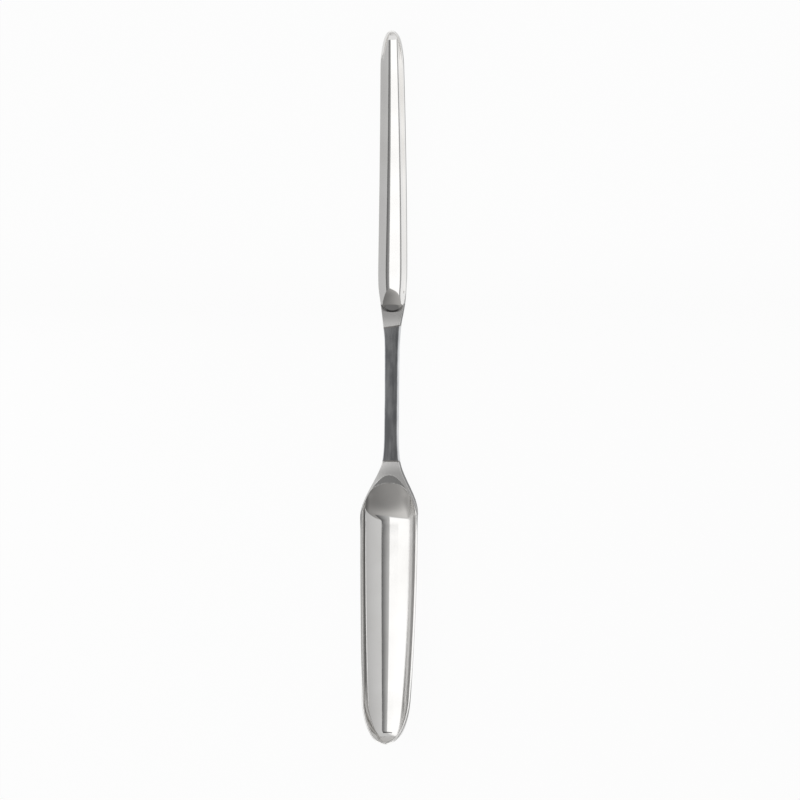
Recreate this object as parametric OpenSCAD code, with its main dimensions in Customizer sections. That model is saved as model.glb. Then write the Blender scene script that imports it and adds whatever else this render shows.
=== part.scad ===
// Marrow scoop: a wide scoop and a narrow scoop, each silver soldered over a tongue on a flat shaft.
// The mouths face +Z, the narrow scoop points along +Y, and the scoop lies on the table at Z = 0.

/* [Large scoop] */
// Length from the joint face to the tip
large_l = 97.9; // [85:0.05:115]
// Width of the mouth between the lips, at the shoulder
large_mouth_w = 19.05; // [16:0.05:23]
// Width of the mouth between the lips, where the nose starts
large_nose_w = 16; // [13:0.05:18]
// Length of the rounded nose
large_nose_l = 16; // [12:0.1:24]
// Depth of the trough below its lips
large_depth = 5; // [4:0.1:7]
// Fullness of the trough's section, where 0.5 is half an ellipse and 1 a parabola
large_fullness = 0.65; // [0.5:0.05:1]
// Thickness of the metal under the trough
large_floor_t = 1.9; // [1:0.1:2.5]
// Fall of the lip from its outer to its inner edge
large_lip_fall = 0.1; // [0:0.05:0.8]
// Length of the ramp on the neck, from the joint face to its crest
large_ramp_l = 4.6; // [3:0.1:5.3]
// Length of solid neck from the joint face to the trough
large_neck_l = 7.5; // [5.5:0.1:10]
// Length over which the trough reaches its full depth
large_entry_l = 13.4; // [12.2:0.1:20]
// Length of the trough's rounded start, seen from above
large_start_l = 4.5; // [3:0.1:11]
// Squareness of the trough's start, seen from above, where 2 is half an ellipse
large_start_squareness = 2.5; // [2:0.1:4]
// Length of the steep wall at the trough's start
large_end_wall_l = 0.27; // [0.2:0.01:2]
// Depth of that wall
large_end_wall_depth = 0.2; // [0.1:0.1:2]
// Softness of the slope below that wall, from a hollow to an even slope
large_entry_softness = 0.4; // [0:0.05:1]
// Length over which the outline widens from the joint to the shoulder
large_flare_l = 19.3; // [14:0.1:24]
// Angle of the outline to the centreline at the joint
large_flare_angle = 10.5; // [4:0.5:16]
// Bow of the outline's taper, where 1 is straight
large_taper_bow = 2; // [1:0.1:3]
// Rise of the lips from the seat to the tip
large_tip_rise = 3.4; // [0:0.1:6]
// Length over which the trough's floor turns up at the tip
large_tip_round = 2.6; // [2.2:0.1:9]

/* [Small scoop] */
// Length from the joint face to the tip
small_l = 102.75; // [85:0.05:120]
// Width of the mouth between the lips, at the shoulder
small_mouth_w = 8.8; // [7.5:0.05:12]
// Width of the mouth between the lips, where the nose starts
small_nose_w = 6.85; // [5:0.05:7.4]
// Length of the rounded nose
small_nose_l = 13; // [6:0.1:16]
// Depth of the trough below its lips
small_depth = 2.2; // [1.8:0.1:3]
// Fullness of the trough's section, where 0.5 is half an ellipse and 1 a parabola
small_fullness = 1; // [0.5:0.05:1]
// Thickness of the metal under the trough
small_floor_t = 2; // [1:0.1:2.6]
// Fall of the lip from its outer to its inner edge
small_lip_fall = 0.55; // [0:0.05:0.8]
// Length of the ramp on the neck, from the joint face to its crest
small_ramp_l = 5.6; // [3:0.1:6.5]
// Length of solid neck from the joint face to the trough
small_neck_l = 5; // [4.5:0.1:8]
// Length over which the trough reaches its full depth
small_entry_l = 9.3; // [7:0.1:16]
// Length of the trough's rounded start, seen from above
small_start_l = 3; // [2:0.1:7]
// Squareness of the trough's start, seen from above, where 2 is half an ellipse
small_start_squareness = 3; // [2:0.1:4]
// Length of the steep wall at the trough's start
small_end_wall_l = 2.6; // [1:0.1:4]
// Depth of that wall
small_end_wall_depth = 1.3; // [0.5:0.1:1.5]
// Softness of the slope below that wall, from a hollow to an even slope
small_entry_softness = 0.2; // [0:0.05:1]
// Length over which the outline widens from the joint to the shoulder
small_flare_l = 17.35; // [12:0.1:24]
// Angle of the outline to the centreline at the joint
small_flare_angle = 6.9; // [4:0.1:12]
// Bow of the outline's taper, where 1 is straight
small_taper_bow = 1.3; // [1:0.1:3]
// Rise of the lips from the seat to the tip
small_tip_rise = 3.8; // [0:0.1:6]
// Length over which the trough's floor turns up at the tip
small_tip_round = 2.2; // [1.8:0.1:7]

/* [Bowl metal] */
// Width of the lip along both mouths
lip_w = 0.85; // [0.5:0.05:1.2]
// Width of the lip at both tips
tip_lip_w = 0.8; // [0.5:0.05:1.2]
// Thickness of the metal at both tips
tip_t = 0.9; // [0.6:0.05:1.4]
// Bevel along the lip's outer edge
lip_bevel = 0.1; // [0.05:0.05:0.2]
// Length of each bowl's straight underside, which lies on the table
seat_l = 8; // [4:0.5:20]
// Setback of the crest of each neck's ramp at the sides of the joint's width
crest_bow = 1.15; // [0:0.05:1.3]
// Length of the rounding to each side of that crest
ramp_round = 0.1; // [0.1:0.1:1]

/* [Shaft] */
// Length between the two joint faces
shaft_l = 46.4; // [36:0.05:70]
// Width at the middle, where it is narrowest
shaft_mid_w = 4.75; // [4:0.05:5.6]
// Width at both joints
joint_w = 5.95; // [5.6:0.05:7.2]
// Thickness
shaft_t = 2.8; // [2.4:0.1:4]
// Height of the underside above the table
shaft_lift = 2.4; // [1.4:0.1:3.2]
// Bevel along the upper edges
edge_bevel = 0.2; // [0.15:0.05:0.5]

/* [Joints] */
// Width of the tongue on each end of the shaft
tongue_w = 2.6; // [1.6:0.1:3.4]
// Thickness of the tongue
tongue_t = 1.3; // [0.8:0.1:1.6]
// Length of the tongue beyond the joint face
tongue_l = 3.4; // [2:0.1:3.8]
// Thickness of the solder between the joint faces
solder_t = 0.3; // [0.1:0.05:0.5]
// Thickness of the solder round each tongue
solder_gap = 0.1; // [0.05:0.05:0.2]
// Skew of the small scoop's joint across the shaft
small_joint_skew = 8.5; // [0:0.5:15]

/* [Hidden] */

steel = "#c9c8c4";
ground_steel = "#8f9194";
silver_solder = "#dcd8cc";

// Steps across the trough and across each lip, then along the neck, the trough's start, body and nose,
// the tip and the shaft
section_n = 20;
lip_n = 4;
lower_n = section_n + 2 * lip_n;
neck_n = 8;
entry_n = 14;
body_n = 10;
nose_n = 12;
tip_n = 3;
shaft_n = 24;
// The hollow of the nose stops at this angle of its quarter ellipse
nose_end = 87;
// Share of the width that the flat middle keeps on the neck and on the tip's lip
flat_share = 0.3;
// Power of the nose's outline
outline_power = 0.43;
// Power of both sides' steepness beside the lips, below and round the nose
wall_power = 24;
// Share of its width that the nose loses until its sides are steep
steep_share = 0.125;
// Share of a neck's rise that its ramp takes, before the lips' slow rise to the seat
ramp_share = 0.6;
// Squareness of the shaft's lower edges, where 1 is an ellipse
bar_squareness = 1.35;
// Fullness of the hollow at a soft start, and of the underside
soft_hollow = 1.2;
under_fullness = 0.5;

shaft_top = shaft_lift + shaft_t;
overall_l = large_l + small_l + shaft_l + 2 * solder_t;
small_joint_y = overall_l / 2 - small_l;
large_joint_y = large_l - overall_l / 2;
shaft_small_y = small_joint_y - solder_t;
shaft_large_y = large_joint_y + solder_t;
// Sideways shear of the skewed joint, which fades out over the small scoop's neck and as far into the shaft
skew_shear = tan(small_joint_skew);
skew_fade_l = small_neck_l;

function clamp01(q) = min(1, max(0, q));
function ease(q) = let (c = clamp01(q)) c * c * (3 - 2 * c);
function mix(a, b, q) = a + (b - a) * q;

// One closed section: the upper face from left to right, then the lower face from right to left.
// half, bevel: outer half width, and the bevel on the outer edge. mouth, fall: the inner edge and its drop.
// top, rise, crest: height at the joint's level, what the neck's ramp adds to it, and the ramp's length.
// hollow, under: depth of the trough under its inner edge, and height of the lower face.
// trim, outer_trim: the share of the full trough and body that the rounded nose leaves here.
function section(y, shear, half, bevel, mouth, fall, top, rise, crest, hollow, fullness, under, squareness,
        trim, outer_trim) =
    let (edge = half - bevel, steep = 0.5 * clamp01((1 - trim) / steep_share))
    concat(
        [for (i = [-lip_n:-1])
            let (q = -i / lip_n, x = -mix(mouth, edge, q))
            [x, y + shear * x, top + rise * ramp(y, x, crest) - fall * (1 - q)]],
        [for (i = [0:section_n])
            let (c = cos(180 * i / section_n), x = -mouth * c)
            [x, y + shear * x, top + rise * ramp(y, x, crest) - fall
                - hollow * curve(c, trim, fullness, steep)]],
        [for (i = [1:lip_n])
            let (q = i / lip_n, x = mix(mouth, edge, q))
            [x, y + shear * x, top + rise * ramp(y, x, crest) - fall * (1 - q)]],
        [for (i = [0:lower_n])
            let (c = cos(180 * i / lower_n), x = half * min(1, max(-1, squareness * c)),
                share = min(1, squareness * curve(c, outer_trim, under_fullness, 0.5)))
            [x, y + shear * x, mix(top + rise * ramp(y, half, crest) - bevel, under, share)]]);

// The neck's ramp from 0 at the joint to 1 past its crest, which is set back towards the sides.
function ramp(y, x, crest) =
    let (u = max(0, y - crest_bow * pow(2 * x / joint_w, 2)),
        v = min(2 * ramp_round, max(0, u - crest + ramp_round)))
    (min(u, crest - ramp_round) + v - v * v / (4 * ramp_round)) / crest;

// Depth at a share c of the half width: full in the middle, and more or less steep up to the edge.
function curve(c, trim, fullness, steep) =
    pow(max(0, 1 - pow(trim * c, 2)), fullness) * pow(max(0, 1 - pow(abs(c), wall_power)), steep);

// The shaft's own section, which both necks and both solder films repeat at the joints.
function bar_section(y, shear, half) = section(y, shear, half, edge_bevel, flat_share * half, 0, shaft_top, 0,
    1, 0, 1, shaft_lift, bar_squareness, 1, 1);

// A closed solid through sections that run along +Y, each with as many points above as below.
module loft(sections) {
    n = len(sections[0]);
    last = (len(sections) - 1) * n;
    sides = [for (j = [0:len(sections) - 2], i = [0:n - 1])
        let (a = j * n + i, b = j * n + (i + 1) % n)
        each [[a, a + n, b + n], [a, b + n, b]]];
    ends = [for (i = [0:n / 2 - 2])
        let (a = i, b = i + 1, c = n - 2 - i, d = n - 1 - i)
        each [[a, b, c], [a, c, d], [last + a, last + c, last + b], [last + a, last + d, last + c]]];
    polyhedron([for (s = sections) each s], concat(sides, ends));
}

// A scoop along +Y from its joint face at Y = 0, with its socket for the shaft's tongue.
module scoop(length, mouth_w, nose_w, nose_l, depth, full, floor_t, lip_fall, ramp_l, neck_l, entry_l, start_l,
        start_squareness, end_wall_l, end_wall_depth, softness, flare_l, flare_angle, taper_bow, tip_rise,
        tip_round, shear) {
    seat_y = neck_l + entry_l;
    lift_y = seat_y + seat_l;
    nose_y = length - nose_l;
    seat_top = depth + floor_t;
    rise = ramp_share * (seat_top - shaft_top);
    wall_share = end_wall_depth / depth;
    joint_half = joint_w / 2;
    shoulder_half = mouth_w / 2 + lip_w;
    flare_start = tan(flare_angle) * flare_l / (shoulder_half - joint_half);

    // The outline seen from above: a flare, a bowed taper and a rounded nose
    function flare(q) = q >= 1 ? 1 : flare_start * (q - 2 * q * q + q * q * q) + ease(q);
    function taper(y) = y <= flare_l ? 0
        : (mouth_w - nose_w) / 2 * pow((y - flare_l) / (nose_y - flare_l), taper_bow);
    function nose(y, l) = y <= nose_y ? 1 : pow(max(0, 1 - pow((y - nose_y) / l, 2)), outline_power);
    function body_half(y) = mix(joint_half, shoulder_half, flare(y / flare_l)) - taper(y);
    function outer_half(y) = body_half(y) * nose(y, nose_l);
    // The mouth inside it, rounded at its start and at its nose
    function start(y) = let (q = clamp01((y - neck_l) / start_l))
        pow(1 - pow(1 - q, start_squareness), 1 / start_squareness);
    function lip(y) = mix(edge_bevel + lip_bevel, lip_w, ease(y / seat_y));
    function mouth_half(y) =
        max((body_half(y) - lip(y)) * start(y) * nose(y, nose_l - tip_lip_w), flat_share * outer_half(y));

    // The heights: the lips, the trough below them and the underside
    function sweep(end, round, y) = let (q = clamp01((y - end + round) / round)) sqrt(1 - q * q);
    function slope(q) = mix(q * (2 - q), ease(q), softness);
    function entry(y) = y <= end_wall_l ? wall_share * max(0, y) / end_wall_l
        : mix(wall_share, 1, slope(clamp01((y - end_wall_l) / (entry_l - end_wall_l))));
    function entered(y) = clamp01((y - neck_l) / entry_l);
    function dip(y) = entry(y - neck_l) * sweep(length - tip_lip_w, tip_round, y);
    function top(y) = y <= seat_y ? mix(shaft_top, seat_top - rise, 1 - pow(1 - y / seat_y, 2))
        : seat_top - rise + tip_rise * pow(max(0, y - lift_y) / (length - lift_y), 2);
    function under(y) = y <= seat_y ? mix(shaft_lift, 0, ease(y / seat_y))
        : top(y) + rise - mix(tip_t, seat_top, sweep(length, tip_round + tip_lip_w, y));
    function fullness(y) = mix(mix(full, soft_hollow, softness), full, ease(entered(y)));

    stations = concat(
        [for (i = [0:neck_n - 1]) neck_l * i / neck_n],
        [for (i = [0:entry_n - 1]) neck_l + entry_l * pow(i / entry_n, 2)],
        [for (i = [0:body_n - 1]) mix(seat_y, nose_y, i / body_n)],
        [for (i = [0:nose_n]) nose_y + (nose_l - tip_lip_w) * sin(nose_end * i / nose_n)],
        [for (i = [1:tip_n]) nose_y + nose_l - tip_lip_w * pow(1 - i / (tip_n + 0.2), 2)]);
    difference() {
        loft([for (y = stations)
            let (change = ease(y / seat_y))
            section(y, shear * (1 - ease(y / skew_fade_l)), outer_half(y), mix(edge_bevel, lip_bevel, change),
                mouth_half(y), lip_fall * dip(y), top(y), rise, ramp_l, (depth - lip_fall) * dip(y),
                fullness(y), under(y), mix(bar_squareness, 1, change), nose(y, nose_l - tip_lip_w),
                nose(y, nose_l))]);
        tongue(solder_gap, solder_t, tongue_l, shear);
    }
}

// A tongue, or with a margin its socket, from behind the joint face to ahead of it along +Y.
module tongue(margin, behind, ahead, shear) {
    x = tongue_w / 2 + margin;
    z = shaft_top - shaft_t / 2;
    dz = tongue_t / 2 + margin;
    loft([for (y = [-behind, ahead + margin])
        let (left = y - shear * x, right = y + shear * x)
        [[-x, left, z + dz], [x, right, z + dz], [x, right, z - dz], [-x, left, z - dz]]]);
}

// The silver solder of one joint along +Y: a film between the faces and a sleeve round the tongue.
module solder(shear) {
    difference() {
        union() {
            loft([for (y = [-solder_t, 0]) bar_section(y, shear, joint_w / 2)]);
            tongue(solder_gap, solder_t / 2, tongue_l, shear);
        }
        tongue(0, 2 * solder_t, tongue_l, shear);
    }
}

module large_scoop() {
    color(steel)
        translate([0, large_joint_y, 0]) mirror([0, 1, 0])
            scoop(large_l, large_mouth_w, large_nose_w, large_nose_l, large_depth, large_fullness,
                large_floor_t, large_lip_fall, large_ramp_l, large_neck_l, large_entry_l, large_start_l,
                large_start_squareness, large_end_wall_l, large_end_wall_depth, large_entry_softness,
                large_flare_l, large_flare_angle, large_taper_bow, large_tip_rise, large_tip_round, 0);
}

module small_scoop() {
    color(steel)
        translate([0, small_joint_y, 0])
            scoop(small_l, small_mouth_w, small_nose_w, small_nose_l, small_depth, small_fullness,
                small_floor_t, small_lip_fall, small_ramp_l, small_neck_l, small_entry_l, small_start_l,
                small_start_squareness, small_end_wall_l, small_end_wall_depth, small_entry_softness,
                small_flare_l, small_flare_angle, small_taper_bow, small_tip_rise, small_tip_round,
                skew_shear);
}

// The flat shaft: its sides widen towards each joint, where they run on into the necks.
module shaft() {
    widening = (joint_w - shaft_mid_w) / 2;
    function power(angle) = tan(angle) * (shaft_l / 2) / widening;
    function half(t) = shaft_mid_w / 2
        + widening * pow(abs(t), power(t < 0 ? large_flare_angle : small_flare_angle));
    function shear(y) = skew_shear * ease((y - shaft_small_y + skew_fade_l) / skew_fade_l);
    color(ground_steel) {
        loft([for (i = [0:shaft_n])
            let (t = 2 * i / shaft_n - 1, y = mix(shaft_large_y, shaft_small_y, i / shaft_n))
            bar_section(y, shear(y), half(t))]);
        translate([0, small_joint_y, 0]) tongue(0, 2 * solder_t, tongue_l, skew_shear);
        translate([0, large_joint_y, 0]) mirror([0, 1, 0]) tongue(0, 2 * solder_t, tongue_l, 0);
    }
}

module large_joint_solder() {
    color(silver_solder)
        translate([0, large_joint_y, 0]) mirror([0, 1, 0]) solder(0);
}

module small_joint_solder() {
    color(silver_solder)
        translate([0, small_joint_y, 0]) solder(skew_shear);
}

large_scoop();
small_scoop();
shaft();
large_joint_solder();
small_joint_solder();
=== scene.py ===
import bpy
import bmesh
from math import cos, pi, radians, sin, sqrt, tan
from mathutils import Matrix, Vector


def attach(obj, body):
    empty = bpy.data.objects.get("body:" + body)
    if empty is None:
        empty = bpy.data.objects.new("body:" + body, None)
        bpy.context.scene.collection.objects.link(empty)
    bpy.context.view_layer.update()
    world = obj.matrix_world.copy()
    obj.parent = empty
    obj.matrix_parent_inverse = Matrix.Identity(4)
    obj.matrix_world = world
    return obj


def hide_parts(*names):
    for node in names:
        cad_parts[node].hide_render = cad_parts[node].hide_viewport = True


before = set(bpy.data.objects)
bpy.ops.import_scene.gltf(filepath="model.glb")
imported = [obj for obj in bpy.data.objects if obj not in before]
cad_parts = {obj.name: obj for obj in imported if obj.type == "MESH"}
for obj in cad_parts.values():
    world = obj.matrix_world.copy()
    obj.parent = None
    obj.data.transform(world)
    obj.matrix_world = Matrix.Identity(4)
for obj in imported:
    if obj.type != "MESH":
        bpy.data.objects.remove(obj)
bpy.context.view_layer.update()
print("frame loaded:", ", ".join(sorted(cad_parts)))

mm = 0.001


# Shader sockets that take part in Python expressions
class Wire:
    def __init__(self, tree, socket=None):
        self.tree = tree
        self.socket = socket

    def make(self, kind, settings=None, values=None, out=0):
        node = self.tree.nodes.new(kind)
        for name, value in (settings or {}).items():
            if name == "stops":
                for at, grey in value:
                    stop = node.color_ramp.elements.new(at)
                    stop.color = (grey, grey, grey, 1)
                node.color_ramp.elements.remove(node.color_ramp.elements[0])
                node.color_ramp.elements.remove(node.color_ramp.elements[-1])
            else:
                setattr(node, name, value)
        for name, value in (values or {}).items():
            if isinstance(value, Wire):
                self.tree.links.new(value.socket, node.inputs[name])
            else:
                node.inputs[name].default_value = value
        return Wire(self.tree, node.outputs[out]) if len(node.outputs) else None

    def maths(self, operation, first, second):
        return self.make("ShaderNodeMath", {"operation": operation}, {0: first, 1: second})

    def __add__(self, other):
        return self.maths("ADD", self, other)

    def __radd__(self, other):
        return self.maths("ADD", other, self)

    def __sub__(self, other):
        return self.maths("SUBTRACT", self, other)

    def __rsub__(self, other):
        return self.maths("SUBTRACT", other, self)

    def __mul__(self, other):
        return self.maths("MULTIPLY", self, other)

    def __rmul__(self, other):
        return self.maths("MULTIPLY", other, self)

    def __abs__(self):
        return self.make("ShaderNodeMath", {"operation": "ABSOLUTE"}, {0: self})


def newMaterial(name):
    material = bpy.data.materials.new(name)
    material.use_nodes = True
    material.node_tree.nodes.clear()
    return material, Wire(material.node_tree)


def axisOf(kit, source, axis):   # one axis of a place or a direction
    vector = kit.make("ShaderNodeTexCoord", out=source)
    return kit.make("ShaderNodeSeparateXYZ", values={"Vector": vector}, out=axis)


def carried(kit, name):   # a value that the mesh carries
    return kit.make("ShaderNodeAttribute", {"attribute_name": name}, out="Fac")


def blendColours(kit, share, first, second, how="MIX"):
    return kit.make("ShaderNodeMix", {"data_type": "RGBA", "blend_type": how},
                    {"Factor": share, 6: first, 7: second}, out=2)


def streaks(kit, across, along, detail):   # noise drawn out along the scoop's length
    place = kit.make("ShaderNodeTexCoord", out="Object")
    drawn = kit.make("ShaderNodeMapping", values={"Vector": place, "Scale": (across, along, across)})
    return kit.make("ShaderNodeTexNoise", values={"Vector": drawn, "Scale": 1, "Detail": detail},
                    out="Fac")


def clouds(kit, scale, detail):   # noise alike in every direction
    place = kit.make("ShaderNodeTexCoord", out="Object")
    return kit.make("ShaderNodeTexNoise", values={"Vector": place, "Scale": scale, "Detail": detail},
                    out="Fac")


def fade(kit, value, span, levels):   # from one level to the next while the value runs over a span
    return kit.make("ShaderNodeMapRange", {"interpolation_type": "SMOOTHSTEP"}, {
        "Value": value, "From Min": span[0], "From Max": span[1], "To Min": levels[0], "To Max": levels[1]})


polish = {
    "light": (0.86, 0.852, 0.84, 1),
    "dull": (0.80, 0.79, 0.775, 1),
    "smudges": (60, 4),   # scale and detail
    "smudgeStops": [(0.4, 0), (0.7, 1)],
    "scratches": (2600, 160, 3),   # scale across and along, and detail
    "waves": (110, 1),
    "roughness": 0.05,
    "smudge": 0.06,
    "scratchHeight": 0.0000005,
    "waveHeight": 0.00001,
    "middle": -0.002425,   # the middle between both joints, from which the distances are counted
    "satinEnd": (0.02805, 0.02835),   # the large neck's satin and its painted shade fade out over this span
    "satinMore": 0.001,   # the small neck's ends so much farther out
    "satinBow": 130,   # and both end nearer the tips at the sides, by the square of X
    "satinRoughness": 0.28,
    "neckShadeFade": (0.0238, 0.0278),   # painted shade: the neck's colour darkens over this span
    "neckShadeLevel": (0.9, 0.63),
    "outsideFade": (0.034, 0.046),   # painted shade on the undersides, from the necks' level to the bowls' own
    "outsideLevel": (0.2, 0.6),
    "startLine": 0.0288,   # painted shade: the dark line in the crease at the small trough's start
    "startWidth": (0.00015, 0.00045),   # from its core to its edge
    "startSides": (0.0016, 0.0027),   # where it fades out at the sides
    "startShadeDepth": 0.35,
    "wornRoughness": 0.5,
    "wearShadeSpan": (0.85, 1),   # the wear over which painted shade darkens the worn wall
    "wearShadeLevel": 0.6,
    # how dark the painted dark lines get, a painted reflection
    "paintedDarkLineLevel": 0.3,
}


def polishedMetal():
    material, kit = newMaterial("polishedMetal")
    smeared = clouds(kit, *polish["smudges"])
    smudges = kit.make("ShaderNodeValToRGB", {"stops": polish["smudgeStops"]}, {"Fac": smeared})
    scratches = streaks(kit, *polish["scratches"])
    waves = clouds(kit, *polish["waves"])
    rubbed = kit.make("ShaderNodeBump", values={"Distance": polish["waveHeight"], "Height": waves})
    scratched = kit.make("ShaderNodeBump", values={"Distance": polish["scratchHeight"], "Height": scratches,
                                                   "Normal": rubbed})
    across = axisOf(kit, "Object", "X")
    along = axisOf(kit, "Object", "Y")
    apart = abs(along - polish["middle"])
    away = apart - across * across * polish["satinBow"]
    small = kit.maths("GREATER_THAN", along, 0)
    neck = fade(kit, away - small * polish["satinMore"], polish["satinEnd"], (1, 0))
    # painted shade on the necks, darker towards the bowls, in place of their dimmer reflection
    neckPaintedShade = 1 + neck * (fade(kit, apart, polish["neckShadeFade"], polish["neckShadeLevel"]) - 1)
    # painted shade: the undersides are darkened in place of the floor's shadow that they mirror
    undersidePaintedShade = fade(kit, apart, polish["outsideFade"], polish["outsideLevel"])
    # painted shade in the crease where the small neck meets its trough
    paintedCreaseShade = small * fade(kit, abs(across), polish["startSides"], (1 - polish["startShadeDepth"], 0))
    paintedCreaseShade = paintedCreaseShade * fade(kit, abs(away - polish["startLine"]), polish["startWidth"], (1, 0))
    wornAndShaded = carried(kit, "wornAndShaded")
    shade = (1 - carried(kit, "outside") * (1 - undersidePaintedShade)) * (1 - paintedCreaseShade) * neckPaintedShade
    # painted reflection: the worn band along the large bowl's right wall is darkened, besides its roughness
    shade = shade * fade(kit, wornAndShaded, polish["wearShadeSpan"], (1, polish["wearShadeLevel"]))
    # painted reflection: thin dark lines below the large bowl's left lip and round the small bowl's right rim
    shade = shade * (1 - carried(kit, "paintedDarkLineShare") * (1 - polish["paintedDarkLineLevel"]))
    tone = blendColours(kit, smudges, polish["light"], polish["dull"])
    tone = blendColours(kit, 1, tone, shade, "MULTIPLY")
    rough = polish["roughness"] + neck * polish["satinRoughness"] + wornAndShaded * polish["wornRoughness"]
    rough = rough + smudges * polish["smudge"] * scratches
    metal = kit.make("ShaderNodeBsdfPrincipled", values={
        "Base Color": tone, "Metallic": 1, "Roughness": rough, "Normal": scratched})
    kit.make("ShaderNodeOutputMaterial", values={"Surface": metal})
    return material


satin = {
    "light": (0.72, 0.73, 0.745, 1),
    "dull": (0.45, 0.46, 0.48, 1),
    "grain": (3200, 60, 3),   # scale across and along, and detail
    "streaks": ((900, 90, 2), (400, 160, 3)),
    "patches": (0.36, 0.64),
    "roughness": 0.03,
    "spread": 0.04,
    "grainHeight": 0.000001,
}


def satinMetal():
    material, kit = newMaterial("satinMetal")
    grain = streaks(kit, *satin["grain"])
    fine, coarse = [streaks(kit, *scale) for scale in satin["streaks"]]
    patches = fade(kit, 0.5 * fine + 0.5 * coarse, satin["patches"], (0, 1))
    tone = blendColours(kit, patches, satin["dull"], satin["light"])
    ground = kit.make("ShaderNodeBump", values={"Distance": satin["grainHeight"], "Height": grain})
    metal = kit.make("ShaderNodeBsdfPrincipled", values={
        "Base Color": tone, "Metallic": 1, "Roughness": satin["roughness"] + grain * satin["spread"],
        "Normal": ground})
    kit.make("ShaderNodeOutputMaterial", values={"Surface": metal})
    return material


solderLook = {
    "colour": (0.3, 0.29, 0.28, 1),
    "roughness": 0.2,
    "spread": 0.15,
    "pits": (4000, 2),
    "pitDepth": 0.000004,
}


def solderMetal():
    material, kit = newMaterial("solderMetal")
    pits = clouds(kit, *solderLook["pits"])
    dent = kit.make("ShaderNodeBump", values={"Distance": solderLook["pitDepth"], "Height": pits})
    metal = kit.make("ShaderNodeBsdfPrincipled", values={
        "Base Color": solderLook["colour"], "Metallic": 1,
        "Roughness": solderLook["roughness"] + pits * solderLook["spread"], "Normal": dent})
    kit.make("ShaderNodeOutputMaterial", values={"Surface": metal})
    return material


def clamp01(q):
    return min(1, max(0, q))


def ease(q):
    q = clamp01(q)
    return q * q * (3 - 2 * q)


def between(value, span):
    return ease((value - span[0]) / (span[1] - span[0]))


def mix(a, b, q):
    return a + (b - a) * q


def linkPiece(name, bm, material):   # a bmesh becomes an object of the scene
    mesh = bpy.data.meshes.new(name)
    bm.to_mesh(mesh)
    bm.free()
    mesh.materials.append(material)
    piece = bpy.data.objects.new(name, mesh)
    bpy.context.scene.collection.objects.link(piece)
    return piece


outline = {
    "upperSteps": 64, "lowerSteps": 40, "cornerSteps": 6, "lipSteps": 12,
    "wallPower": 24, "steepShare": 0.125, "round": 0.5, "halvings": 30,
    "lipShare": 0.45, "cornerShare": 0.4,   # how much of a lip, and of what meets it, is rounded at most
}
cornerPoints = 3 * outline["cornerSteps"] + outline["lipSteps"]
underStart = outline["upperSteps"] + 1 + cornerPoints

# Points of an outline on its lower face, round the right rim's outer edge and just below the left lip;
# painted shade goes on the lower face, painted dark lines on both edges
underside = range(underStart, underStart + outline["lowerSteps"] + 1)
rimEdge = range(underStart - 2 * outline["cornerSteps"], underStart)
leftEdge = range(3, 7)

# Points of the right wall between which the wear and its painted shade grow, and its last point
wearAndShadePoints = (45, 56)
wearAndShadeLast = 67


# A ring is drawn out station by station: the slot layer says which point of the next ring a new vertex takes.
# The wear with its painted shade begins over a span of Y, and the painted dark line begins and ends over
# spans of Y, all in mm from the origin.
def drawOut(name, rings, material, wearAndShade=None, paintedDarkLine=None):
    bm = bmesh.new()
    slot = bm.verts.layers.int.new("slot")
    outside = bm.verts.layers.float.new("outside")
    wornAndShaded = bm.verts.layers.float.new("wornAndShaded")
    paintedDarkLineShare = bm.verts.layers.float.new("paintedDarkLineShare")
    start = bmesh.ops.create_circle(bm, segments=len(rings[0]), radius=1)["verts"]
    for i, vert in enumerate(start):
        vert[slot] = i
        vert.co = rings[0][i] * mm
    edges = bm.edges[:]
    bmesh.ops.holes_fill(bm, edges=edges)
    for ring in rings[1:]:
        grown = bmesh.ops.extrude_edge_only(bm, edges=edges)["geom"]
        for vert in [g for g in grown if isinstance(g, bmesh.types.BMVert)]:
            vert.co = ring[vert[slot]] * mm
        edges = [g for g in grown if isinstance(g, bmesh.types.BMEdge)]
    bmesh.ops.contextual_create(bm, geom=edges)
    bmesh.ops.recalc_face_normals(bm, faces=bm.faces)
    for vert in bm.verts:
        vert[outside] = vert[slot] in underside
        reach = abs(vert.co.y) / mm
        if wearAndShade and vert[slot] <= wearAndShadeLast:
            vert[wornAndShaded] = between(reach, wearAndShade) * between(vert[slot], wearAndShadePoints)
        if paintedDarkLine and vert[slot] in paintedDarkLine["points"]:
            vert[paintedDarkLineShare] = between(reach, paintedDarkLine["from"]) * (1 - between(reach, paintedDarkLine["to"]))
    bm.verts.layers.int.remove(bm.verts.layers.int["slot"])
    for face in bm.faces:
        face.smooth = len(face.verts) == 4
        if len(face.verts) > 4:
            for edge in face.edges:
                edge.smooth = False
    return linkPiece(name, bm, material)


def bend(a, corner, b, steps):   # rounds a corner between two points
    return [a * (1 - t) ** 2 + corner * 2 * t * (1 - t) + b * t ** 2
            for t in [i / steps for i in range(1, steps)]]


# Place of a lip's highest line, from its inner to its outer edge, and the power of its fall
flatLip = (1, 1)


# Depth at a share of the half width: full in the middle, and more or less steep up to the edge
def curveAt(share, trim, fullness, steep):
    side = max(0, 1 - abs(share) ** outline["wallPower"]) ** steep
    return max(0, 1 - (trim * share) ** 2) ** fullness * side


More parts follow.
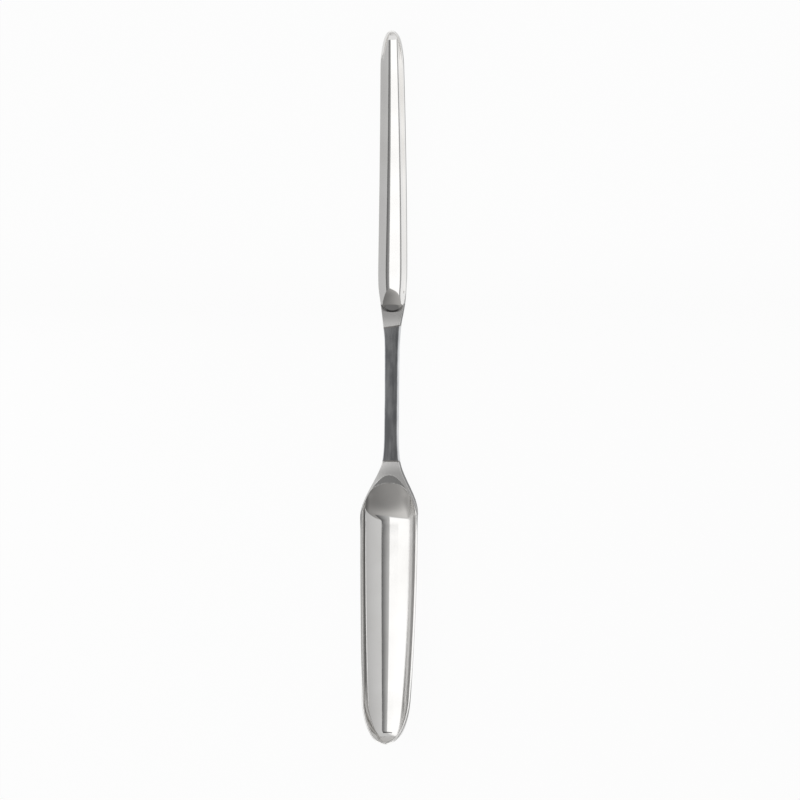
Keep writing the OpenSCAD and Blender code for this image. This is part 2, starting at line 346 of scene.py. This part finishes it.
# One closed outline in X and Z: upper face from left to right, lip and bevel, lower face, bevel and lip
def sectionOutline(half, bevel, mouth, fall, topAt, hollow, fullness, bottom, squareness, innerRound,
                   lipShape=flatLip, trim=1, outerTrim=1):
    steep = outline["round"] * clamp01((1 - trim) / outline["steepShare"])

    def upper(a):
        x = -mouth * cos(a)
        return Vector((x, topAt(x) - fall - hollow * curveAt(cos(a), trim, fullness, steep)))

    def lipAt(q):   # from the inner to the outer edge
        x = mix(mouth, half - bevel, q)
        return Vector((x, topAt(x) - fall * abs(1 - q / lipShape[0]) ** lipShape[1]))

    def lower(a):
        share = min(1, squareness * curveAt(cos(a), outerTrim, outline["round"], outline["round"]))
        x = half * min(1, max(-1, squareness * cos(a)))
        return Vector((x, mix(topAt(half) - bevel, bottom, share)))

    def angleAt(curve, distance):   # where the curve has run this far from its first point
        low, high = 0, pi / 2
        for i in range(outline["halvings"]):
            middle = (low + high) / 2
            if (curve(middle) - curve(0)).length < distance:
                low = middle
            else:
                high = middle
        return low

    lip = half - bevel - mouth
    slope = lower(0) - lipAt(1)
    inner = min(innerRound, outline["lipShare"] * lip, outline["cornerShare"] * mouth)
    outer = outline["cornerShare"] * min(slope.length, lip)
    slope.normalize()
    a = angleAt(upper, inner)
    b = angleAt(lower, outer)
    n, m, k, j = [outline[key] for key in ("upperSteps", "lowerSteps", "cornerSteps", "lipSteps")]
    over = [upper(mix(a, pi - a, i / n)) for i in range(n + 1)]
    under = [lower(mix(b, pi - b, i / m)) for i in range(m + 1)]
    corner = bend(over[-1], lipAt(0), lipAt(inner / lip), k)
    corner += [lipAt(mix(inner / lip, 1 - outer / lip, i / j)) for i in range(j + 1)]
    corner += bend(corner[-1], lipAt(1), lipAt(1) + slope * outer, k)
    corner += [lipAt(1) + slope * outer, lower(0) - slope * outer]
    corner += bend(corner[-1], lower(0), under[0], k)
    other = [Vector((-p.x, p.y)) for p in reversed(corner)]
    return over + corner + under + other


joint = {
    "width": 5.95, "top": 5.2, "thickness": 2.8, "bevel": 0.2, "squareness": 1.35, "round": 0.1, "flat": 0.3,
    "solder": 0.3, "bead": -0.03, "beadSteps": 6, "smallSkew": 8.5, "crown": 0.06,
}
shear = tan(radians(joint["smallSkew"]))


def ringAt(y, skew, points):   # an outline set across the length, skewed by its own x
    return [Vector((p.x, y + skew * p.x, p.y)) for p in points]


bowlMetal = {
    "lip": 0.85, "lipBevel": 0.1, "tipLip": 0.8, "tipMetal": 0.9, "seat": 8, "lipChange": 14,
    "outlinePower": 0.43, "softHollow": 1.2, "innerRound": 0.28,
    "rampBow": 1.15, "rampRound": 0.1, "rampShare": 0.6,
    "neckSteps": 46, "entrySteps": 40, "bodySteps": 22, "noseSteps": 36, "noseEnd": 87,
    "tipSteps": 5, "tipGap": 0.3,
}


# The stations of a bowl, drawn along its own length from the joint
def bowlRings(bowl, skew):
    length, depth, neck, entry = bowl["length"], bowl["depth"], bowl["neck"], bowl["entry"]
    seat = neck + entry
    lift = seat + bowlMetal["seat"]
    nose = length - bowl["nose"]
    innerNose = bowl["nose"] - bowlMetal["tipLip"]
    seatTop = depth + bowl["floor"]
    jointHalf = joint["width"] / 2
    shoulder = bowl["mouth"] / 2 + bowlMetal["lip"]
    flareStart = tan(radians(bowl["flareAngle"])) * bowl["flare"] / (shoulder - jointHalf)

    def bodyHalf(y):
        q = min(1, y / bowl["flare"])
        wide = flareStart * (q - 2 * q * q + q ** 3) + ease(q)
        slim = max(0, y - bowl["flare"]) / (nose - bowl["flare"])
        narrowing = (bowl["mouth"] - bowl["noseMouth"]) / 2 * slim ** bowl["taperBow"]
        return mix(jointHalf, shoulder, wide) - narrowing

    def plan(y, l):
        return 1 if y <= nose else max(0, 1 - ((y - nose) / l) ** 2) ** bowlMetal["outlinePower"]

    def sweep(end, turnUp, y):
        q = clamp01((y - end + turnUp) / turnUp)
        return sqrt(1 - q * q)

    def entered(y):   # share of the trough's full depth at a distance from its start
        wall = bowl["endWall"]
        share = bowl["endWallDepth"] / depth
        if y <= wall:
            return share * max(0, y) / wall
        q = clamp01((y - wall) / (entry - wall))
        return mix(share, 1, mix(q * (2 - q), ease(q), bowl["softness"]))

    rise = bowlMetal["rampShare"] * (seatTop - joint["top"])

    def ramp(y, x):   # what the neck's ramp adds, with its crest set back towards the sides
        crest, turn = bowl["ramp"], bowlMetal["rampRound"]
        u = max(0, y - bowlMetal["rampBow"] * (x / jointHalf) ** 2)
        v = min(2 * turn, max(0, u - crest + turn))
        return rise * (min(u, crest - turn) + v - v * v / (4 * turn)) / crest

    def level(y):   # the lips' height without the ramp
        if y <= seat:
            return mix(joint["top"], seatTop - rise, 1 - (1 - y / seat) ** 2)
        return seatTop - rise + bowl["tipRise"] * (max(0, y - lift) / (length - lift)) ** 2

    def ring(y):
        change = ease(y / seat)
        half = bodyHalf(y) * plan(y, bowl["nose"])
        begun = clamp01((y - neck) / bowl["start"])
        lip = mix(joint["bevel"] + bowlMetal["lipBevel"], bowlMetal["lip"], change)
        square = bowl["startSquareness"]
        begun = (1 - (1 - begun) ** square) ** (1 / square)
        mouth = (bodyHalf(y) - lip) * begun * plan(y, innerNose)
        dip = entered(y - neck) * sweep(length - bowlMetal["tipLip"], bowl["tipRound"], y)
        soft = mix(bowl["fullness"], bowlMetal["softHollow"], bowl["softness"])
        fullness = mix(soft, bowl["fullness"], ease((y - neck) / entry))
        base = level(y)
        ahead = ease((y - nose) / bowlMetal["lipChange"] + 1)
        lipShape = [mix(first, last, ahead) for first, last in zip(*bowl["lipShape"])]
        if y <= seat:
            bottom = (joint["top"] - joint["thickness"]) * (1 - change)
        else:
            turnUp = bowl["tipRound"] + bowlMetal["tipLip"]
            bottom = base + rise - mix(bowlMetal["tipMetal"], seatTop, sweep(length, turnUp, y))
        points = sectionOutline(
            half, mix(joint["bevel"], bowlMetal["lipBevel"], change), max(mouth, joint["flat"] * half),
            bowl["lipFall"] * dip, lambda x: base + ramp(y, x), (depth - bowl["lipFall"]) * dip,
            fullness, bottom, mix(joint["squareness"], 1, change),
            mix(joint["round"], bowlMetal["innerRound"], change), lipShape, plan(y, innerNose),
            plan(y, bowl["nose"]))
        return ringAt(y, skew * (1 - ease(y / neck)), points)

    steps = bowlMetal["entrySteps"]
    stations = [neck * i / bowlMetal["neckSteps"] for i in range(bowlMetal["neckSteps"])]
    stations += [neck + entry * (i / steps) ** 2 for i in range(steps)]
    stations += [mix(seat, nose, i / bowlMetal["bodySteps"]) for i in range(bowlMetal["bodySteps"])]
    stations += [nose + innerNose * sin(radians(bowlMetal["noseEnd"]) * i / bowlMetal["noseSteps"])
                 for i in range(bowlMetal["noseSteps"] + 1)]
    tipSpan = bowlMetal["tipSteps"] + bowlMetal["tipGap"]
    stations += [nose + bowl["nose"] - bowlMetal["tipLip"] * (1 - i / tipSpan) ** 2
                 for i in range(1, bowlMetal["tipSteps"] + 1)]
    return [ring(y) for y in stations]


def toFrame(rings, y, turned=False):   # sets a piece that was drawn along its own length at its place
    way = -1 if turned else 1
    return [[Vector((p.x, y + way * p.y, p.z)) for p in ring] for ring in rings]


def ready(piece, node, levels):
    if levels:
        smooth = piece.modifiers.new("smooth", "SUBSURF")
        smooth.levels = levels
        smooth.render_levels = levels
    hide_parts(node)
    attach(piece, "root")


mirrorPolish = polishedMetal()
satinFinish = satinMetal()
solderFinish = solderMetal()
print("finishes made")

largeBowl = {
    "length": 97.9, "mouth": 19.05, "noseMouth": 16, "nose": 16, "depth": 5, "fullness": 0.65, "floor": 1.9,
    "lipFall": 0.1, "lipShape": ((1, 1.5), (0.6, 2)), "ramp": 4.6, "neck": 7.5, "entry": 13.4,
    "start": 4.5, "startSquareness": 2.5, "endWall": 0.27, "endWallDepth": 0.2, "softness": 0.4,
    "flare": 19.3, "flareAngle": 10.5, "taperBow": 2, "tipRise": 3.4, "tipRound": 2.6, "jointY": -25.925,
    "wearAndShade": (38, 46), "paintedDarkLine": {"points": leftEdge, "from": (41, 44), "to": (102, 112)},
}
largePiece = drawOut("large_bowl", toFrame(bowlRings(largeBowl, 0), largeBowl["jointY"], True), mirrorPolish,
                     wearAndShade=largeBowl["wearAndShade"], paintedDarkLine=largeBowl["paintedDarkLine"])
ready(largePiece, "large_scoop", 1)
print("large bowl drawn:", len(largePiece.data.polygons), "faces")

smallBowl = {
    "length": 102.75, "mouth": 8.8, "noseMouth": 6.85, "nose": 13, "depth": 2.2, "fullness": 1, "floor": 2,
    "lipFall": 0.55, "lipShape": (flatLip, flatLip), "ramp": 5.6, "neck": 5, "entry": 9.3,
    "start": 3, "startSquareness": 3, "endWall": 2.6, "endWallDepth": 1.3, "softness": 0.2,
    "flare": 17.35, "flareAngle": 6.9, "taperBow": 1.3, "tipRise": 3.8, "tipRound": 2.2, "jointY": 21.075,
    "paintedDarkLine": {"points": rimEdge, "from": (30, 40), "to": (112, 122)},
}
smallPiece = drawOut("small_bowl", toFrame(bowlRings(smallBowl, shear), smallBowl["jointY"]), mirrorPolish,
                     paintedDarkLine=smallBowl["paintedDarkLine"])
ready(smallPiece, "small_scoop", 1)
print("small bowl drawn:", len(smallPiece.data.polygons), "faces")


def barOutline(half, grow):   # the shaft's outline, or with a growth the solder beside it
    wide = half + grow
    return sectionOutline(
        wide, joint["bevel"], joint["flat"] * wide, 0,
        lambda x: joint["top"] + grow - joint["crown"] * (x / wide) ** 2, 0, outline["round"],
        joint["top"] - joint["thickness"] - grow, joint["squareness"], joint["round"])


bar = {"waist": 4.75, "from": -25.625, "to": 20.775, "steps": 60}


def barRings():
    half = (bar["to"] - bar["from"]) / 2
    widening = (joint["width"] - bar["waist"]) / 2
    rings = []
    for i in range(bar["steps"] + 1):
        t = 2 * i / bar["steps"] - 1
        y = mix(bar["from"], bar["to"], i / bar["steps"])
        angle = largeBowl["flareAngle"] if t < 0 else smallBowl["flareAngle"]
        power = tan(radians(angle)) * half / widening
        skew = shear * ease((y - bar["to"] + smallBowl["neck"]) / smallBowl["neck"])
        rings.append(ringAt(y, skew, barOutline(bar["waist"] / 2 + widening * abs(t) ** power, 0)))
    return rings


barPiece = drawOut("shaft_bar", barRings(), satinFinish)
ready(barPiece, "shaft", 0)


def beadRings(skew):
    rings = []
    for i in range(joint["beadSteps"] + 1):
        t = i / joint["beadSteps"]
        rings.append(ringAt(-joint["solder"] * (1 - t), skew,
                            barOutline(joint["width"] / 2, joint["bead"] * sin(pi * t))))
    return rings


largeBead = drawOut("large_solder_bead", toFrame(beadRings(0), largeBowl["jointY"], True), solderFinish)
ready(largeBead, "large_joint_solder", 0)
smallBead = drawOut("small_solder_bead", toFrame(beadRings(shear), smallBowl["jointY"]), solderFinish)
ready(smallBead, "small_joint_solder", 0)
print("shaft and solder drawn")


floorLook = {"reach": 3, "white": 0.95, "even": 0.95}


def makeFloor():
    bm = bmesh.new()
    bmesh.ops.create_grid(bm, x_segments=1, y_segments=1, size=floorLook["reach"])
    material, kit = newMaterial("whiteFloor")
    white = (floorLook["white"],) * 3 + (1,)
    lit = kit.make("ShaderNodeBsdfDiffuse", values={"Color": white})
    glow = kit.make("ShaderNodeEmission", values={"Color": (1, 1, 1, 1), "Strength": 1})
    seen = kit.make("ShaderNodeLightPath", out="Is Camera Ray")
    mirrored = kit.make("ShaderNodeLightPath", out="Is Glossy Ray")
    through = kit.make("ShaderNodeLightPath", out="Is Transmission Ray")
    share = (seen + mirrored + through) * floorLook["even"]
    floorShade = kit.make("ShaderNodeMixShader", values={"Fac": share, 1: lit, 2: glow})
    kit.make("ShaderNodeOutputMaterial", values={"Surface": floorShade})
    floor = linkPiece("floor", bm, material)


def shineAt(kit, level):   # light of a card's own
    glow = kit.make("ShaderNodeEmission", values={"Color": (1, 1, 1, 1), "Strength": level})
    kit.make("ShaderNodeOutputMaterial", values={"Surface": glow})


# Bent cards round the scoop, by their angles from overhead (minus is the left side) and their place along Y.
# The far end may slant and have angles of its own. The light runs from the first angle to the last,
# and over the tail it changes to a last level.
cards = {
    "largeLine": {"from": -0.075, "to": (-0.12, -0.12), "angles": (-89, -79), "light": (0.75, 0.65)},
    "largeWhite": {"from": -0.075, "to": (-0.12, -0.26), "angles": (-79, -7), "light": (1.2, 1.2),
                   "tail": (0.6, 0.5)},
    "largeDark": {"from": -0.075, "to": (-0.095, -0.095), "angles": (-7, 16), "light": (0.6, 0.1)},
    "largeCorner": {"from": -0.095, "to": (-0.26, -0.26), "angles": (-7, 16), "farAngles": (-7, 36),
                    "light": (0.55, 0.08)},
    "largeGrey": {"from": -0.075, "to": (-0.095, -0.3), "angles": (16, 80), "light": (0.68, 0.52)},
    "largeStrip": {"from": -0.075, "to": (-0.3, -0.3), "angles": (80, 88), "light": (1.1, 1.1)},
    "middleWhite": {"from": 0.046, "to": (-0.075, -0.075), "angles": (-89, -32), "light": (1.2, 1.2)},
    "middleDark": {"from": 0.046, "to": (-0.075, -0.075), "angles": (-32, 12), "light": (0.34, 0.03)},
    "middleGrey": {"from": 0.046, "to": (-0.075, -0.075), "angles": (12, 87), "light": (0.68, 0.52)},
    "smallLight": {"from": 0.052, "to": (0.2, 0.2), "angles": (-89, -66), "light": (0.95, 0.95)},
    "smallLine": {"from": 0.052, "to": (0.2, 0.2), "angles": (-66, -56), "light": (0.35, 0.4)},
    "smallWhite": {"from": 0.052, "to": (0.2, 0.12), "angles": (-56, 17), "light": (1.2, 1.2)},
    "smallDark": {"from": 0.052, "to": (0.12, 0.17), "angles": (17, 37), "light": (0.4, 0.1)},
    "smallGrey": {"from": 0.052, "to": (0.17, 0.4), "angles": (37, 89), "light": (0.57, 0.53)},
}
cardSet = {"radius": 0.6, "steps": 24, "alongSteps": 8}


def makeCard(name):
    card = cards[name]
    far = card.get("farAngles", card["angles"])
    bm = bmesh.new()
    acrossShare = bm.verts.layers.float.new("across")
    alongShare = bm.verts.layers.float.new("along")
    bmesh.ops.create_grid(bm, x_segments=cardSet["steps"], y_segments=cardSet["alongSteps"], size=0.5)
    for vert in bm.verts:   # the flat grid is bent over the scoop
        across, along = vert.co.x + 0.5, vert.co.y + 0.5
        vert[acrossShare], vert[alongShare] = across, along
        first, last = [mix(card["angles"][i], far[i], along) for i in range(2)]
        turn = radians(mix(first, last, across))
        y = mix(card["from"], mix(card["to"][0], card["to"][1], across), along)
        vert.co = (cardSet["radius"] * sin(turn), y, cardSet["radius"] * cos(turn))
    material, kit = newMaterial(name)
    level = card["light"][0] + carried(kit, "across") * (card["light"][1] - card["light"][0])
    if "tail" in card:
        start, last = card["tail"]
        level = level + fade(kit, carried(kit, "along"), (start, 1), (0, 1)) * (last - level)
    shineAt(kit, level)
    board = linkPiece(name, bm, material)
    board.visible_camera = False


# Upright boards: a grey and a white one lean between both bowls, so that neither mirrors the other's cards,
# and a dark one stands beyond the small bowl. Each by its half width, Y and Z of its lower and upper edge,
# and its light, which may change towards the left over a span of X.
boards = {
    "dividerGrey": {"half": 0.59, "foot": (0.0304, 0.012), "head": (0.049, 0.59), "light": 0.62,
                    "left": ((-0.16, -0.05), (1.85, 1))},
    "dividerWhite": {"half": 0.59, "foot": (0.0312, 0.012), "head": (0.0498, 0.59), "light": 0.85},
    "farDark": {"half": 0.3, "foot": (0.35, 0), "head": (0.35, 0.33), "light": 0.17},
}


def makeBoard(name):
    board = boards[name]
    bm = bmesh.new()
    bmesh.ops.create_grid(bm, x_segments=1, y_segments=1, size=1)
    for vert in bm.verts:   # the flat sheet is stood up
        up = (vert.co.y + 1) / 2
        y, z = [mix(board["foot"][i], board["head"][i], up) for i in range(2)]
        vert.co = (vert.co.x * board["half"], y, z)
    material, kit = newMaterial(name)
    level = board["light"]
    if "left" in board:
        level = level * fade(kit, axisOf(kit, "Object", "X"), *board["left"])
    shineAt(kit, level)
    sheet = linkPiece(name, bm, material)
    sheet.visible_camera = False


room = {
    "tone": (1, 0.985, 0.965, 1), "level": 0.38, "left": 0.2,
    "low": ((0.25, 0.5), (0.6, 1)),   # a span of height and its levels
    "ends": ((0.4, 0.72), (1.25, 0.68)),   # one towards both ends of the scoop
    "far": ((0.05, 0.35), (1, 0.6)),   # and one beyond the small bowl
}


def makeRoom():   # lighter on the left, darker near the horizon and towards both ends
    world = bpy.data.worlds.new("room")
    bpy.context.scene.world = world
    world.use_nodes = True
    world.node_tree.nodes.clear()
    kit = Wire(world.node_tree)
    sideways, lengthways, upwards = [axisOf(kit, "Generated", axis) for axis in "XYZ"]
    level = room["level"] - sideways * room["left"]
    level = level * fade(kit, upwards, *room["low"]) * fade(kit, abs(lengthways), *room["ends"])
    level = level * fade(kit, lengthways, *room["far"])
    air = kit.make("ShaderNodeBackground", values={"Color": room["tone"], "Strength": level})
    kit.make("ShaderNodeOutputWorld", values={"Surface": air})


makeFloor()
for cardName in cards:
    makeCard(cardName)
for boardName in boards:
    makeBoard(boardName)
makeRoom()
print("floor, cards and room made")

# The photo's frame: 800 pixels across at 0.348 mm each, seen from above and a little from the right
view = {
    "swing": 14, "lean": 0.43, "lens": 120, "sensor": 36, "frame": 0.2784,
    "aim": (0.00325, -0.0045, 0.005),
}


def makeCamera():
    data = bpy.data.cameras.new("camera")
    data.sensor_width = view["sensor"]
    data.lens = view["lens"]
    camera = bpy.data.objects.new("camera", data)
    bpy.context.scene.collection.objects.link(camera)
    away = view["frame"] * view["lens"] / view["sensor"]
    turn = Matrix.Rotation(radians(view["swing"]), 4, "Y") @ Matrix.Rotation(radians(view["lean"]), 4, "Z")
    camera.matrix_world = Matrix.Translation(Vector(view["aim"])) @ turn @ Matrix.Translation((0, 0, away))
    bpy.context.scene.camera = camera


makeCamera()
bpy.context.scene.view_settings.view_transform = "Standard"
print("camera set")
